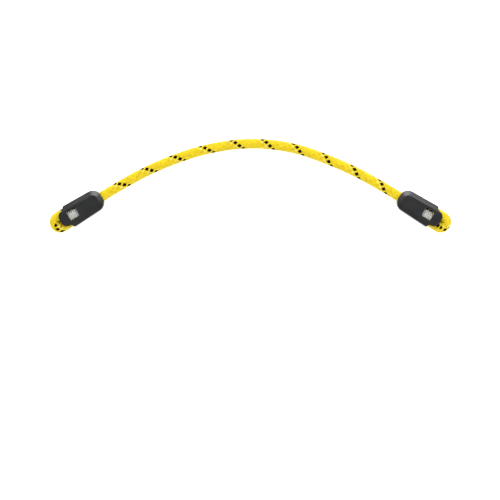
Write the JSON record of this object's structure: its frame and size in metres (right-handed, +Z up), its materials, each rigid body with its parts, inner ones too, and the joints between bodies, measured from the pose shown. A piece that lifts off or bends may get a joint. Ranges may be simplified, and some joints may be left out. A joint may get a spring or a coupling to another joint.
{
  "type": "rope bridge strop with sewn eyes",
  "caption": "Short braided rope strop: each end is folded into a tight sewn eye, and a moulded sleeve slides over each seam.",
  "frame": {"origin": "centre of the plan box, on the surface the strop lies on", "axes": "+X along the strop from left eye to right eye, +Y towards the bow of the rope, +Z up"},
  "size_m": [0.4424, 0.1039, 0.0172],
  "materials": {
    "sheath": "braided polyester, satin, with a spiral of dark tracer marks",
    "core": "twisted polyamide strands",
    "seam_thread": "bonded sewing thread",
    "melted_end": "melted and smoothed",
    "sleeve": "moulded, fine spark-eroded texture"
  },
  "bodies": {
    "rope": {"rope_sheath_span": "sheath", "rope_sheath_eye_left": "sheath", "rope_sheath_eye_right": "sheath", "core_strand_1": "core", "core_strand_2": "core", "core_strand_3": "core", "core_strand_4": "core", "core_strand_5": "core", "core_strand_6": "core", "core_strand_7": "core", "needle_thread_left": "seam_thread", "needle_thread_right": "seam_thread", "bobbin_thread_left": "seam_thread", "bobbin_thread_right": "seam_thread", "tail_seal_left": "melted_end", "tail_seal_right": "melted_end"},
    "sleeve_left": {"sleeve_left": "sleeve"},
    "sleeve_right": {"sleeve_right": "sleeve"}
  },
  "joints": [
    {"name": "sleeve_left_slide", "type": "slide", "parent": "rope", "child": "sleeve_left", "axis": [0.853, 0.5218, 0], "range_m": [0, 0.02]},
    {"name": "sleeve_right_slide", "type": "slide", "parent": "rope", "child": "sleeve_right", "axis": [-0.853, 0.5218, 0], "range_m": [0, 0.02]}
  ]
}
